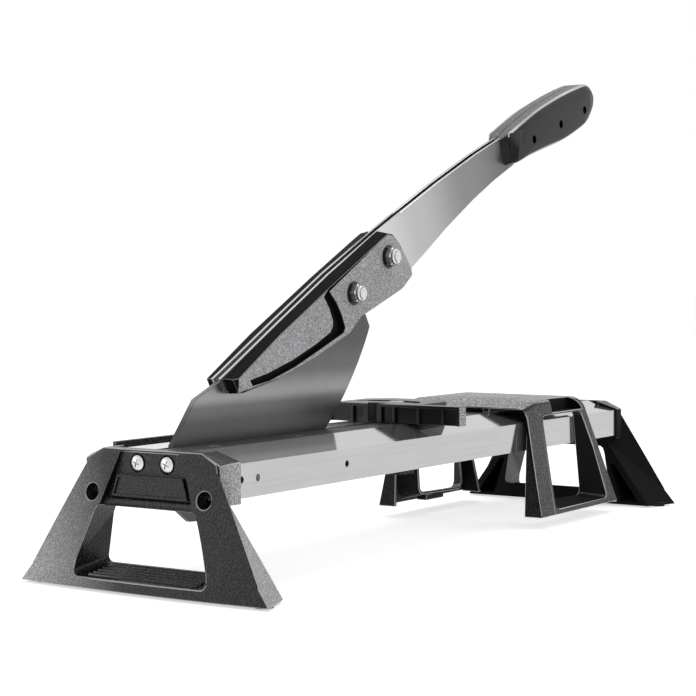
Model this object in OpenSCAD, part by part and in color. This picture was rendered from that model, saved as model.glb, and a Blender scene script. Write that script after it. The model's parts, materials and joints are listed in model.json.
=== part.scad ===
// Guillotine cutter for laminate flooring: two aluminium rails between two moulded feet,
// a blade on a long hinged lever, a swivelling fence and a lift-off board support.
// Millimetres, +Z up, +Y from the hinge end to the far end, +X towards the near side.

/* [Base] */
// Length of the base over the soles of the two feet
base_l = 603; // [580:1:760]
// Width over the two rails
rails_w = 113; // [111:0.5:118]
// Height of the table over the soles
table_z = 89; // [88:0.5:96]
// Height of each rail's outer side
rail_side_h = 22; // [19:0.5:23]
// Height of each rail under the table
rail_h = 29; // [28:0.5:31]
// Wall of the rails
rail_wall = 2; // [1.6:0.1:2.4]
// Gap between the two rails
rail_gap = 8; // [7.4:0.1:9]
// Width of the flat part of each rail's top
rail_flat_w = 22; // [21:0.5:25]
// Thickness of the table strips let into the rails
strip_t = 3; // [2.5:0.1:3.4]
// Width of the slot that the blade drops into
slot_w = 4.6; // [4.5:0.1:5.2]

/* [Feet] */
// Width of a foot at the floor
foot_w = 201.6; // [194:0.2:230]
// Width of a foot at the floor on its inner side
foot_back_w = 178; // [172:1:188]
// Depth of a foot at the floor
foot_depth = 31; // [29:0.5:36]
// Lean of a foot's outer face, in degrees
foot_lean = 10.8; // [9:0.2:12]
// How far the outer face bulges at its middle
foot_bulge = 4.3; // [3:0.1:5]
// Wall of a foot
foot_wall = 4; // [3:0.2:5]
// Diameter of the fixing holes in a foot
fix_hole_d = 11; // [8:0.5:12.5]
// Distance between the fixing holes
fix_hole_pitch = 91; // [88:0.5:94]
// Height of the fixing holes over the sole
fix_hole_z = 60.5; // [60:0.5:62]
// How far the rubber pads stand out of the soles
pad_stand = 1.5; // [1:0.1:2.5]
// Diameter of the rubber pads
pad_d = 12; // [8:0.5:13]

/* [Hinge and lever] */
// Distance of the hinge pin from the outer end of the sole
pivot_y = 49.3; // [49:0.1:52]
// Height of the hinge pin over the sole
pivot_z = 71.7; // [71:0.1:73]
// Diameter of the hinge pin
pivot_d = 10; // [8:0.5:10.5]
// Angle of the lever over the table at rest, in degrees
lever_angle = 25; // [10:1:60]
// Thickness of the blade
blade_t = 4; // [3.2:0.1:4.1]
// Thickness of each of the two lever plates
plate_t = 2; // [1.5:0.1:3]
// Depth of each blade cover
cover_t = 9; // [7.5:0.5:11]
// Diameter of the two bolts through the covers
cover_bolt_d = 8; // [6:0.5:8.5]
// Depth of each half of the grip
grip_t = 11; // [9:0.5:14]
// Diameter of the counterbores in the grip
grip_hole_d = 7; // [6.5:0.5:8]

/* [Fence] */
// Distance of the fence's face from the outer end of the sole
fence_y = 270; // [269:1:290]
// Length of the fence
fence_l = 150; // [130:1:180]
// Height of the fence over the table
fence_h = 14.5; // [13.5:0.1:15]
// Depth of the fence's bar
fence_bar_d = 10; // [9:0.5:12]
// Width of the gap in the fence for the blade
fence_gap = 7.5; // [7.2:0.1:9]
// Radius that the fence swings on
swing_r = 34; // [33:0.5:38]
// Angle that the fence swings each way, in degrees
swing_angle = 30; // [10:1:31]
// Diameter of the fence's bolt and guide pins
fence_bolt_d = 6; // [5:0.5:6.5]

/* [Board support] */
// Distance of the support's front from the far end of the base
support_back = 205; // [190:1:225]
// Length of the support at its top
support_top_l = 102; // [96:1:108]
// Length of the support at its feet
support_foot_l = 139.5; // [130:0.5:145]
// Width over the support's feet
support_w = 152; // [148:1:164]
// Height of the support's top over the table
support_rise = 9.2; // [9:0.2:14]
// Height of the support's feet over the soles
support_foot_z = 8; // [5:0.5:12]
// Thickness of the support's skin
support_skin = 3; // [2:0.2:4]

/* [Hidden] */

$fn = 48;
// Radial play of a running fit, play between parts that are laid together, and a thin slice
fit = 0.05;
lay = 0.3;
slice = 0.01;

// The origin lies on the floor, midway between the front foot's face and the grip's end
grip_end = [640.5, 20];
reach_y = pivot_y + grip_end[0] * cos(lever_angle) - grip_end[1] * sin(lever_angle);
origin_y = (reach_y - foot_bulge) / 2;

// Places that the rails settle
rails_x = rails_w / 2;
rail_z = table_z - rail_h;
rail_side_z = rail_z + rail_side_h;
rail_start = 20;
rail_end = base_l - rail_start;
rail_x0 = rail_gap / 2;
flat_x = rail_x0 + rail_flat_w;
strip_z = table_z - strip_t;
slot_x = slot_w / 2;
web_x = flat_x + 1;

// Screw ports in the rails, which the screws of the feet run into
port_x = 12;
port_z = table_z - 8.8;
port_d = 4.2;
port_wall = 2.1;

// Holes in the outer sides of the rails
side_hole_d = 4.6;
side_hole_ys = [foot_depth + 1.1, pivot_y, 150.6];

// Screws of the table strips
strip_screw_d = 3.6;
strip_screw_x = port_x + port_wall + strip_screw_d / 2 + 1.3;
strip_screw_ys = [56, 150, 245, 360, base_l - 60];
strip_screw_head_d = 7.4;
strip_screw_head_h = 1.9;
strip_screw_l = 5.6;

// Rear cross pin and its spacer
cross_pin_d = 8;
cross_pin_y = base_l - 118;
cross_pin_z = rail_z + 12;
spacer_l = 30;

// Screws of the feet
foot_screw_d = port_d - 2 * fit;
foot_screw_l = 22;
foot_screw_head_d = 10;
foot_screw_head_h = 4;
counterbore_d = 12.4;
counterbore_floor = rail_start - 4;

// Bush, washers, bolts and grip screws of the lever
bush_d = 14;
washer_d = 20;
cover_bolts_at = [[208, 29.5], [262, 34]];
cover_nut_af = 13;
cover_nut_h = 8;
bolt_head_h = 5.3;
bolt_washer_t = 1.6;
bolt_washer_d = 16;
grip_screws_at = [[512.3, 29.3], [564.2, 23.2], [613.3, 18]];
grip_screw_d = 4;
grip_head_d = 6.2;
grip_head_h = 2.4;
grip_nut_h = 3.2;
grip_seat = 4;
plate_x = blade_t / 2 + plate_t;
cover_x = plate_x + cover_t;
grip_x = plate_x + grip_t;

// Fence and its clamp
fence_bolt_y = fence_y + swing_r;
pin_angle = 19;
slot_half = fence_bolt_d / 2 + 0.1;
fence_z0 = table_z + lay;
fence_top = table_z + fence_h;
fence_plate_t = 6;
fence_recess_t = 3.5;
fence_recess_half = 6.8;
fence_head_d = 12;
fence_head_h = 2.1;
fence_washer_t = 1;
fence_plate_back = 62;
fence_plate_w = 72;
fence_skirt = 2.5;
fence_relief_r = 12.8;
fence_flare = 4;
rib_pitch = 21;
rib_t = 1.8;
cell_depth = 2.6;
clamp_plate_t = 3;
clamp_plate_w = 44;
clamp_plate_l = 26;
knob_d = 26;
knob_h = 8.5;
knob_gap = 0.3;
insert_d = 9;

// Board support
support_x = support_w / 2;
support_top_x = rails_x + 5.5;
support_top = table_z + support_rise;
support_plate_t = 5.5;
support_bend_r = 12;
support_y = base_l - support_back;

// Colours
charcoal = [0.22, 0.22, 0.23];
cover_grey = [0.42, 0.42, 0.43];
black = [0.08, 0.08, 0.09];
silver = [0.82, 0.82, 0.84];
blade_grey = [0.34, 0.35, 0.36];
steel = [0.74, 0.74, 0.74];
zinc = [0.88, 0.88, 0.87];
brass = [0.78, 0.62, 0.30];

// Puts a part that is drawn from the outer end of the front sole into the frame
module in_frame() {
    translate([0, -origin_y, pad_stand]) children();
}

// Extrudes an outline drawn in X and Z along Y
module along_y(from, to) {
    translate([0, to, 0]) rotate([90, 0, 0]) linear_extrude(to - from) children();
}

// Extrudes an outline drawn in Y and Z along X
module along_x(from, to) {
    translate([from, 0, 0]) rotate([90, 0, 90]) linear_extrude(to - from) children();
}

// A round bar along X
module bar_x(from, to, d) {
    translate([from, 0, 0]) rotate([0, 90, 0]) cylinder(d = d, h = to - from);
}

// A round bar along Y
module bar_y(from, to, d) {
    translate([0, from, 0]) rotate([-90, 0, 0]) cylinder(d = d, h = to - from);
}

// A round ring along X
module ring_x(from, to, outer_d, inner_d) {
    difference() {
        bar_x(from, to, outer_d);
        bar_x(from - 1, to + 1, inner_d);
    }
}

module both_sides() {
    children();
    mirror([1, 0, 0]) children();
}

module at_rear() {
    translate([0, base_l, 0]) mirror([0, 1, 0]) children();
}

// A half outline from its bottom to its top, and its mirror image
function mirrored(half) =
    concat(half, [for (i = [len(half) - 1:-1:0]) [-half[i][0], half[i][1]]]);

// Height of the sloping part of a rail's top
function slope_z(x) =
    table_z - (x - flat_x) * (table_z - rail_side_z) / (rails_x - flat_x);

// Feet

// How far ahead of the outer face the blank of a foot starts
foot_ahead = foot_bulge + 2;
side_taper = (foot_w - foot_back_w) / 2 / foot_depth;
face_r = (pow(foot_w / 2, 2) + pow(foot_bulge, 2)) / (2 * foot_bulge);
shoulder_x = 40;
sleeve_t = 1.4;
// The hand hole: half widths and heights at the outer face and at the inner side
window_out = [[56, 6], [37.5, 53.5]];
window_in = [[52, 12.5], [46, 50]];
window_round = 4;
// The panel between the legs is set back; its badge stands out and has a rim
panel = [[38.7, 50.5], [25.2, 87]];
panel_lean = 1.6;
panel_y = 11.6;
badge = [[30.8, 58.8], [26.4, 72.5]];
badge_face = [[29.3, 60.2], [25.4, 71.1]];
badge_rise = 3;
badge_depth = 1;
// A roll along the panel's lower edge
roll_z = 54.9;
roll_d = 6.4;
roll_w = 76.4;
tread_count = 6;
tread_pitch = 4.6;
tread_d = 2.4;
tread_w = 88;
pad_y = 11;
pad_x = foot_w / 2 - 12;
pad_seat = 2;
hollow_top = 40;

module on_face() {
    rotate([-foot_lean, 0, 0]) children();
}

module on_panel() {
    translate([0, panel_y, 0]) rotate([-panel_lean, 0, 0]) children();
}

// The legs run in under the rails; the sleeve round the rails stands out over them
sleeve_z = rail_z - 3;
sleeve_x = rails_x + sleeve_t;
sleeve_y = foot_depth - 1.4;
leg_top_x = rails_x - 9.5;
foot_front_x = foot_w / 2 + foot_ahead * side_taper;
front_shoulder_x = rails_x - 2.3;
shoulder_z = rail_side_z - 0.8;

// Corners of one side of the blank: three on the leaning front, three on the inner side
foot_corners = concat(
    [for (p = [[foot_front_x, 0], [front_shoulder_x, shoulder_z], [shoulder_x, table_z]])
        [p[0], p[1] * tan(foot_lean) - foot_ahead, p[1]]],
    [for (p = [[foot_back_w / 2, 0], [leg_top_x, sleeve_z], [shoulder_x, table_z]])
        [p[0], foot_depth, p[1]]]);

module foot_prism() {
    polyhedron(
        points = concat(foot_corners, [for (p = foot_corners) [-p[0], p[1], p[2]]]),
        faces = [[6, 7, 8, 2, 1, 0], [8, 11, 5, 2], [3, 9, 6, 0], [4, 10, 9, 3],
            [5, 11, 10, 4], [4, 3, 0], [1, 4, 0], [5, 4, 1], [2, 5, 1],
            [10, 6, 9], [7, 6, 10], [11, 7, 10], [8, 7, 11]]);
}

module sleeve_slice(y, points) {
    along_y(y - slice, y) polygon(mirrored(points));
}

module foot_blank() {
    intersection() {
        union() {
            foot_prism();
            hull() {
                sleeve_slice(foot_wall + 9, [[front_shoulder_x + 0.5, sleeve_z],
                    [front_shoulder_x + 0.5, shoulder_z + 0.3], [shoulder_x - 0.5, table_z]]);
                sleeve_slice(rail_start - 0.4, [[sleeve_x - 0.3, sleeve_z],
                    [sleeve_x - 0.3, rail_side_z + 0.8], [shoulder_x - 0.5, table_z]]);
                sleeve_slice(sleeve_y, [[sleeve_x, sleeve_z], [sleeve_x, rail_side_z + 1.2],
                    [shoulder_x - 0.5, table_z]]);
            }
        }
        on_face() translate([0, face_r - foot_bulge, -50])
            cylinder(r = face_r, h = table_z + 100, $fn = 720);
    }
}

module window_slice(y, points) {
    along_y(y - slice, y) offset(r = window_round, $fn = 32) offset(delta = -window_round)
        polygon(mirrored(points));
}

module foot_window() {
    hull() {
        window_slice(-8, window_out);
        window_slice(foot_depth + 3, window_in);
    }
}

// The hollow of each leg, open to the inner side
module leg_hollow() {
    on_face() along_y(foot_wall + 1, foot_depth + 30)
        polygon([[window_in[0][0] + 11, 2 * foot_wall],
            [foot_back_w / 2 - 2.2 * foot_wall, 2 * foot_wall],
            [rails_x, hollow_top], [window_in[1][0] + 6, hollow_top]]);
}

// Room for the ends of the rails and for the blade's heel
module foot_socket() {
    along_y(rail_start, foot_depth + 10)
        polygon(mirrored([
            [rails_x + 0.2, rail_z],
            [rails_x + 0.2, rail_side_z + 0.2],
            [shoulder_x - 2, slope_z(shoulder_x - 2) + 0.2],
            [shoulder_x - 2, table_z + 5]]));
    along_y(rail_start, foot_depth + 10)
        polygon(mirrored([[rail_x0 + 0.5, rail_z - 25], [rail_x0 + 0.5, rail_z + 1]]));
}

module foot() {
    difference() {
        foot_blank();
        foot_window();
        both_sides() leg_hollow();
        foot_socket();
        on_panel() along_y(-40, 0) polygon(mirrored(panel));
        for (side = [-1, 1]) {
            translate([side * fix_hole_pitch / 2, 0, fix_hole_z])
                bar_y(-10, rail_start, fix_hole_d);
            translate([side * port_x, 0, port_z]) {
                bar_y(-10, counterbore_floor, counterbore_d);
                bar_y(0, rail_start + 1, foot_screw_d + 1);
            }
            translate([side * pad_x, pad_y, -1]) cylinder(d = pad_d, h = pad_seat + 1);
        }
    }
    on_panel() difference() {
        along_y(-badge_rise, 1) polygon(mirrored(badge));
        along_y(-badge_rise - 1, badge_depth - badge_rise) polygon(mirrored(badge_face));
    }
    on_panel() translate([0, 0.6, roll_z]) bar_x(-roll_w / 2, roll_w / 2, roll_d);
    for (i = [0:tread_count - 1])
        translate([0, 3.5 + i * tread_pitch, 7.7 + i * tread_pitch * 0.155])
            bar_x(-tread_w / 2, tread_w / 2, tread_d);
}

module front_foot() {
    color(charcoal) in_frame() foot();
}

module rear_foot() {
    color(charcoal) in_frame() at_rear() foot();
}

module foot_pads() {
    color(black) in_frame() both_sides()
        for (y = [pad_y, base_l - pad_y])
            translate([pad_x, y, -pad_stand]) cylinder(d = pad_d, h = pad_stand + pad_seat);
}

// The pan-head screws that hold a foot to the two rails
module pan_screw() {
    difference() {
        union() {
            bar_y(0, foot_screw_l, foot_screw_d);
            intersection() {
                bar_y(-foot_screw_head_h, 0, foot_screw_head_d);
                translate([0, foot_screw_head_d - foot_screw_head_h, 0])
                    sphere(r = foot_screw_head_d);
            }
        }
        for (turn = [0, 90])
            translate([0, -foot_screw_head_h, 0]) rotate([0, turn + 20, 0])
                cube([foot_screw_head_d * 0.55, 4, 1.1], center = true);
    }
}

module foot_screws() {
    for (side = [-1, 1])
        translate([side * port_x, counterbore_floor, port_z]) pan_screw();
}

module front_foot_screws() {
    color(zinc) in_frame() foot_screws();
}

module rear_foot_screws() {
    color(zinc) in_frame() at_rear() foot_screws();
}

// Rails

module rail_section() {
    difference() {
        union() {
            difference() {
                polygon([[rail_x0, rail_z], [rails_x, rail_z], [rails_x, rail_side_z],
                    [flat_x, table_z], [flat_x, strip_z], [rail_x0, strip_z]]);
                polygon([[rail_x0 + rail_wall, rail_z + rail_wall],
                    [web_x, rail_z + rail_wall], [web_x, strip_z - rail_wall],
                    [rail_x0 + rail_wall, strip_z - rail_wall]]);
                polygon([[web_x + rail_wall, rail_z + rail_wall],
                    [rails_x - rail_wall, rail_z + rail_wall],
                    [rails_x - rail_wall, rail_side_z - 0.8 * rail_wall],
                    [web_x + rail_wall, slope_z(web_x + rail_wall) - rail_wall]]);
            }
            translate([port_x, port_z]) circle(d = port_d + 2 * port_wall);
            translate([port_x - port_wall, port_z])
                square([2 * port_wall, strip_z - port_z - rail_wall / 2]);
        }
        translate([port_x, port_z]) circle(d = port_d);
    }
}

module rail() {
    difference() {
        along_y(rail_start, rail_end) rail_section();
        translate([0, pivot_y, pivot_z]) bar_x(0, web_x + rail_wall + 1, pivot_d + 2 * fit);
        translate([0, cross_pin_y, cross_pin_z])
            bar_x(0, web_x + rail_wall + 1, cross_pin_d + 2 * fit);
        for (y = side_hole_ys)
            translate([0, y, pivot_z]) bar_x(rails_x - rail_wall - 1, rails_x + 1, side_hole_d);
        for (y = strip_screw_ys)
            translate([strip_screw_x, y, strip_z - rail_wall - 1])
                cylinder(d = strip_screw_d + 2 * fit, h = rail_wall + 2);
        translate([swing_r * sin(pin_angle), fence_y + swing_r * cos(pin_angle),
            strip_z - rail_wall - 1])
            cylinder(d = fence_bolt_d + 2 * fit, h = rail_wall + 2);
    }
}

module near_rail() {
    color(silver) in_frame() rail();
}

module far_rail() {
    color(silver) in_frame() mirror([1, 0, 0]) rail();
}

module countersunk_screw(length, play) {
    translate([0, 0, -strip_screw_head_h])
        cylinder(d1 = strip_screw_d + 2 * play, d2 = strip_screw_head_d + 2 * play,
            h = strip_screw_head_h + slice);
    translate([0, 0, -length])
        cylinder(d = strip_screw_d + 2 * play, h = length - strip_screw_head_h + slice);
}

// A flat strip let into a rail's top, along the blade's slot
module table_strip() {
    difference() {
        translate([slot_x, rail_start, strip_z])
            cube([flat_x - slot_x, rail_end - rail_start, strip_t]);
        for (y = strip_screw_ys)
            translate([strip_screw_x, y, table_z + slice]) countersunk_screw(strip_screw_l, fit);
        translate([0, fence_bolt_y, strip_z - 1])
            cylinder(d = fence_bolt_d + 2 * lay, h = strip_t + 2);
        translate([swing_r * sin(pin_angle), fence_y + swing_r * cos(pin_angle), strip_z - 1])
            cylinder(d = fence_bolt_d + 2 * fit, h = strip_t + 2);
    }
}

module near_table_strip() {
    color(black) in_frame() table_strip();
}

module counter_blade() {
    color(steel) in_frame() mirror([1, 0, 0]) table_strip();
}

module strip_screws() {
    color(zinc) in_frame() both_sides() for (y = strip_screw_ys)
        translate([strip_screw_x, y, table_z - slice]) countersunk_screw(strip_screw_l, 0);
}

// A thin black rest on the far rail's side, which holds a board level with the table
edge_rest_ys = [44, 215];
edge_rest_t = 2.4;
edge_rest_hook = 6;

module edge_rest() {
    color(black) in_frame() mirror([1, 0, 0])
        translate([rails_x, edge_rest_ys[0], rail_side_z - edge_rest_hook])
            cube([edge_rest_t, edge_rest_ys[1] - edge_rest_ys[0],
                table_z + 0.5 - rail_side_z + edge_rest_hook]);
}

module hinge_pin() {
    reach = rails_x - rail_wall - lay;
    color(steel) in_frame() translate([0, pivot_y, pivot_z]) bar_x(-reach, reach, pivot_d);
}

module thrust_washers() {
    color(steel) in_frame() translate([0, pivot_y, pivot_z]) both_sides()
        ring_x(blade_t / 2 + 0.15, rail_x0 - fit, washer_d, pivot_d + 2 * fit);
}

module rail_spacer() {
    color(black) in_frame() difference() {
        translate([-rail_x0 + fit, cross_pin_y - spacer_l / 2, rail_z])
            cube([rail_gap - 2 * fit, spacer_l, rail_h - strip_t - fit]);
        translate([0, cross_pin_y, cross_pin_z])
            bar_x(-rail_gap, rail_gap, cross_pin_d + 2 * fit);
    }
}

module rear_cross_pin() {
    reach = rails_x - rail_wall - lay;
    color(steel) in_frame() translate([0, cross_pin_y, cross_pin_z])
        bar_x(-reach, reach, cross_pin_d);
}

// Lever: outlines run along the lever and across it, from the hinge pin

// The cutting edge is one arc
edge_r = 238;
edge_at = [88.8, 180.7];
edge_angles = [-91, -54.4];
edge_steps = 18;
edge_arc = [for (i = [0:edge_steps])
    let (a = edge_angles[0] + (edge_angles[1] - edge_angles[0]) * i / edge_steps)
    edge_at + edge_r * [cos(a), sin(a)]];

blade_outline = concat(
    [[-23, -10], [-19.5, -18.5], [-13.4, -29.1], [-8, -32], [23.4, -34.3], [54.1, -44.8]],
    edge_arc,
    [[232, -9.2], [230.9, 1.3], [214, 11], [274, 12], [276, 44], [120, 42], [58, 38],
        [37.6, 39.1], [25.8, 39.7], [-7.9, 24.1]]);

// Upper and lower edges of the lever plates in front of the grip, then inside it
lever_top = [[52, 41], [62, 41.5], [129, 46], [197, 50], [273, 51.7], [304, 51.7],
    [366, 51], [432, 48.6], [485, 44.8]];
lever_under = [[487, 16.6], [450.8, 17.6], [412, 16.7], [361.9, 13.1], [331.6, 9.5],
    [303.8, 6.7], [274, 7], [212, 12.5], [190, 9], [145, 12], [103, 18.5], [55.4, 28.6]];
tang_top = [[497, 42], [540, 41.5], [585, 37.5], [624, 31]];
tang_under = [[627, 23], [612, 11.5], [567, 13], [512, 20.5], [499, 20]];

// Where the grip's ends cover the lever plates, and where the spacer between them begins
cover_end_u = lever_top[8][0] - 20;
spacer_u = lever_top[8][0] + 1;

function lever_outline() = concat(lever_top, tang_top, tang_under, lever_under);
function tang_room(play) = concat(
    [[cover_end_u, lever_top[7][1] - 2 + play], lever_top[8] + [0, play]],
    [for (p = tang_top) p + [play, play]], [for (p = tang_under) p + [play, -play]],
    [lever_under[0] - [0, play], [cover_end_u, lever_under[0][1] - 1 - play]]);

module at_hinge() {
    in_frame() translate([0, pivot_y, pivot_z]) rotate([lever_angle, 0, 0]) children();
}

module at_each(points) {
    for (p = points) translate([0, p[0], p[1]]) children();
}

module blade() {
    color(blade_grey) at_hinge() difference() {
        along_x(-blade_t / 2, blade_t / 2) polygon(blade_outline);
        bar_x(-blade_t, blade_t, bush_d);
        at_each(cover_bolts_at) bar_x(-blade_t, blade_t, cover_bolt_d + 2 * fit);
    }
}

module blade_bush() {
    color(brass) at_hinge() ring_x(-blade_t / 2, blade_t / 2, bush_d, pivot_d + 2 * fit);
}

module lever_plate() {
    difference() {
        along_x(blade_t / 2, plate_x) polygon(lever_outline());
        at_each(cover_bolts_at) bar_x(0, plate_x + 1, cover_bolt_d + 2 * fit);
        at_each(grip_screws_at) bar_x(0, plate_x + 1, grip_screw_d + 2 * fit);
    }
}

module near_lever_plate() {
    color(steel) at_hinge() lever_plate();
}

module far_lever_plate() {
    color(steel) at_hinge() mirror([1, 0, 0]) lever_plate();
}

// Fills the gap between the two plates inside the grip
module tang_spacer() {
    color(steel) at_hinge() difference() {
        along_x(-blade_t / 2 + fit, blade_t / 2 - fit)
            polygon(concat([[spacer_u, tang_top[0][1] - 1]], tang_top, tang_under,
                [[spacer_u, tang_under[4][1]]]));
        at_each(grip_screws_at) bar_x(-blade_t, blade_t, grip_screw_d + 2 * fit);
    }
}

// Blade covers: the outline at the lever plates, and the smaller one at the face
cover_base = [[55.4, 39.6], [56.5, 27.6], [61, 25.6], [101.4, 15.2], [143.9, 8.6],
    [189, 4.6], [204, 8], [210, 9.2], [272, 3.2], [288, 6.4], [289.5, 12.2], [282.4, 36],
    [277, 47], [268, 52.2], [262, 52.2], [197, 49.8], [129, 45.4]];
cover_wall = [[55.8, 38.8], [57, 27.8], [61.4, 25.8], [101.4, 15.5], [143.9, 8.9],
    [189, 4.9], [272, 3.5], [287.8, 6.6], [289.2, 12.2], [282, 35.8], [276.5, 45.8],
    [268, 50.6], [262, 50.4], [197, 48.4], [129, 44.3]];
cover_face = [[59.7, 37.6], [61.8, 27.4], [66.5, 25.8], [101.4, 16.4], [143.9, 9.8],
    [189, 5.8], [203, 9], [210, 10.4], [272, 4.4], [286.8, 7.4], [288, 12.2], [280.9, 35.5],
    [275.4, 45], [268, 49.4], [258, 49.2], [182.7, 46.3], [114.3, 43]];
cover_bevel = 2;
// The sunk channel round two sides of the wedge panel
channel_outer = [[71.3, 26.1], [90, 20.3], [120, 15.2], [150, 12.4], [184, 9.6], [187.6, 11.9],
    [187.2, 22], [185, 33], [179.5, 45.6]];
channel_inner = [[172.6, 43.4], [175.4, 33], [175.6, 23], [173.6, 19.6], [169.5, 17.2],
    [150, 17.6], [120, 20.4], [90, 25.6], [70.4, 30.6]];
channel_depth = 5;

// The lower edge steps in behind the channel
cover_step = [[186, -2], [186, 4.8], [189, 5.2], [203.5, 8.4], [210, 9.8], [272, 3.8], [272, -2]];

module cover_slice(x, points) {
    along_x(x, x + slice) polygon(points);
}

module cover() {
    difference() {
        hull() {
            cover_slice(plate_x, cover_base);
            cover_slice(cover_x - cover_bevel, cover_wall);
            cover_slice(cover_x - slice, cover_face);
        }
        along_x(0, cover_x + 1) polygon(cover_step);
        along_x(cover_x - channel_depth, cover_x + 1)
            polygon(concat(channel_outer, channel_inner));
        at_each(cover_bolts_at) bar_x(0, cover_x + 1, cover_bolt_d + 2 * fit);
    }
}

module near_cover() {
    color(cover_grey) at_hinge() cover();
}

module far_cover() {
    color(cover_grey) at_hinge() mirror([1, 0, 0]) cover();
}

module hex_x(from, to, across_flats) {
    translate([from, 0, 0]) rotate([0, 90, 0])
        cylinder(d = across_flats / cos(30), h = to - from, $fn = 6);
}

// Bolts with their heads on the far side
module cover_bolts() {
    color(zinc) at_hinge() at_each(cover_bolts_at) {
        bar_x(-cover_x - bolt_washer_t, cover_x + cover_nut_h + 0.8, cover_bolt_d);
        hex_x(-cover_x - bolt_washer_t - bolt_head_h, -cover_x - bolt_washer_t, cover_nut_af);
    }
}

module cover_nuts() {
    color(zinc) at_hinge() at_each(cover_bolts_at) difference() {
        union() {
            hex_x(cover_x, cover_x + cover_nut_h - 2, cover_nut_af);
            bar_x(cover_x, cover_x + cover_nut_h, cover_nut_af - 1.6);
        }
        bar_x(cover_x - 1, cover_x + cover_nut_h + 1, cover_bolt_d + 2 * fit);
    }
}

module cover_washers() {
    color(zinc) at_hinge() at_each(cover_bolts_at)
        ring_x(-cover_x - bolt_washer_t, -cover_x, bolt_washer_d, cover_bolt_d + 2 * fit);
}

// Grip halves: the guard in front is swept back, and the faces are smaller than the heart
grip_body = [[500, 47.4], [540, 46.9], [585, 43.2], [625, 37.6], [637, 34],
    [640.5, 29], [640, 19], [634, 11.5], [618, 4.6], [600, 4.4], [567, 7], [530, 13.6],
    [500, 18.4]];
grip_heart = concat([[473, 44.5]], grip_body, [[472, 21.4], [471, 30]]);
grip_side = concat([[480, 46.8]], grip_body, [[476, 21.6], [478, 30]]);
grip_face = [[495.4, 43.1], [510.8, 44.6], [535.6, 44.2], [570.7, 40.4], [606, 34.2],
    [630, 29.6], [635, 27], [635.4, 19.7], [630, 13.6], [614.7, 7.6], [600, 7.4], [567, 9.8],
    [530, 16.4], [500, 21], [478, 23.6], [484, 34]];
grip_round = 5;

module grip() {
    difference() {
        hull() {
            along_x(fit, plate_x) polygon(grip_heart);
            cover_slice(grip_x - grip_round, grip_side);
            cover_slice(grip_x - slice, grip_face);
        }
        along_x(-1, plate_x + fit) polygon(tang_room(fit));
        at_each(grip_screws_at) {
            bar_x(0, grip_x + 1, grip_screw_d + 2 * fit);
            bar_x(plate_x + grip_seat, grip_x + 1, grip_hole_d);
        }
    }
}

module near_grip() {
    color(black) at_hinge() grip();
}

module far_grip() {
    color(black) at_hinge() mirror([1, 0, 0]) grip();
}

module grip_screws() {
    color(zinc) at_hinge() at_each(grip_screws_at) difference() {
        union() {
            bar_x(-plate_x - grip_seat - grip_nut_h, plate_x + grip_seat + 0.1, grip_screw_d);
            bar_x(plate_x + grip_seat, plate_x + grip_seat + grip_head_h, grip_head_d);
        }
        hex_x(plate_x + grip_seat + grip_head_h - 1.4, plate_x + grip_seat + grip_head_h + 1, 2.5);
    }
}

module grip_nuts() {
    color(zinc) at_hinge() at_each(grip_screws_at) difference() {
        bar_x(-plate_x - grip_seat - grip_nut_h, -plate_x - grip_seat, grip_hole_d - 0.4);
        bar_x(-plate_x - grip_seat - grip_nut_h - 1, -plate_x, grip_screw_d + 2 * fit);
    }
}

// Fence

// The middle line of a curved slot about the fence's centre, with its round ends
module swing_slot(half_width, reach) {
    intersection() {
        difference() {
            circle(r = swing_r + half_width, $fn = 96);
            circle(r = swing_r - half_width, $fn = 96);
        }
        polygon([[0, 0], for (i = [-4:4]) 2 * swing_r * [sin(reach * i / 4), cos(reach * i / 4)]]);
    }
    for (side = [-1, 1])
        translate(swing_r * [side * sin(reach), cos(reach)]) circle(r = half_width);
}

// The gap flares behind the face, so that the blade's end clears it at every angle of the fence
module fence_gap_outline() {
    half = fence_gap / 2;
    wide = half + fence_relief_r * tan(swing_angle + fence_flare);
    intersection() {
        circle(r = fence_relief_r);
        polygon([[-half, -1], [-half, 0], [-wide, fence_relief_r],
            [wide, fence_relief_r], [half, 0], [half, -1]]);
    }
}

module fence_plate_outline() {
    polygon([[-fence_plate_w / 2, fence_bar_d - 1], [fence_plate_w / 2, fence_bar_d - 1],
        [fence_plate_w / 2, fence_plate_back - 14], [fence_plate_w / 2 - 16, fence_plate_back],
        [-fence_plate_w / 2 + 16, fence_plate_back], [-fence_plate_w / 2, fence_plate_back - 14]]);
}

module fence_plate_inner() {
    polygon([[-fence_plate_w / 2 + fence_skirt, fence_bar_d - 2],
        [fence_plate_w / 2 - fence_skirt, fence_bar_d - 2],
        [fence_plate_w / 2 - fence_skirt, fence_plate_back - 15],
        [fence_plate_w / 2 - 17, fence_plate_back - fence_skirt],
        [-fence_plate_w / 2 + 17, fence_plate_back - fence_skirt],
        [-fence_plate_w / 2 + fence_skirt, fence_plate_back - 15]]);
}

rib_last = fence_l / 2 - 15.5;
rib_count = ceil((rib_last - 8) / rib_pitch);
cell_x0 = fence_gap / 2 + 4;

module fence_cells() {
    difference() {
        translate([cell_x0, -1, fence_z0 - 1])
            cube([fence_l / 2 - 2.5 - cell_x0, cell_depth + 1, fence_top - 2.2 - fence_z0 + 1]);
        for (i = [0:rib_count - 1])
            translate([rib_last - i * rib_pitch, -2, fence_z0 - 2])
                cube([rib_t, cell_depth + 3, fence_h]);
    }
}

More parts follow.
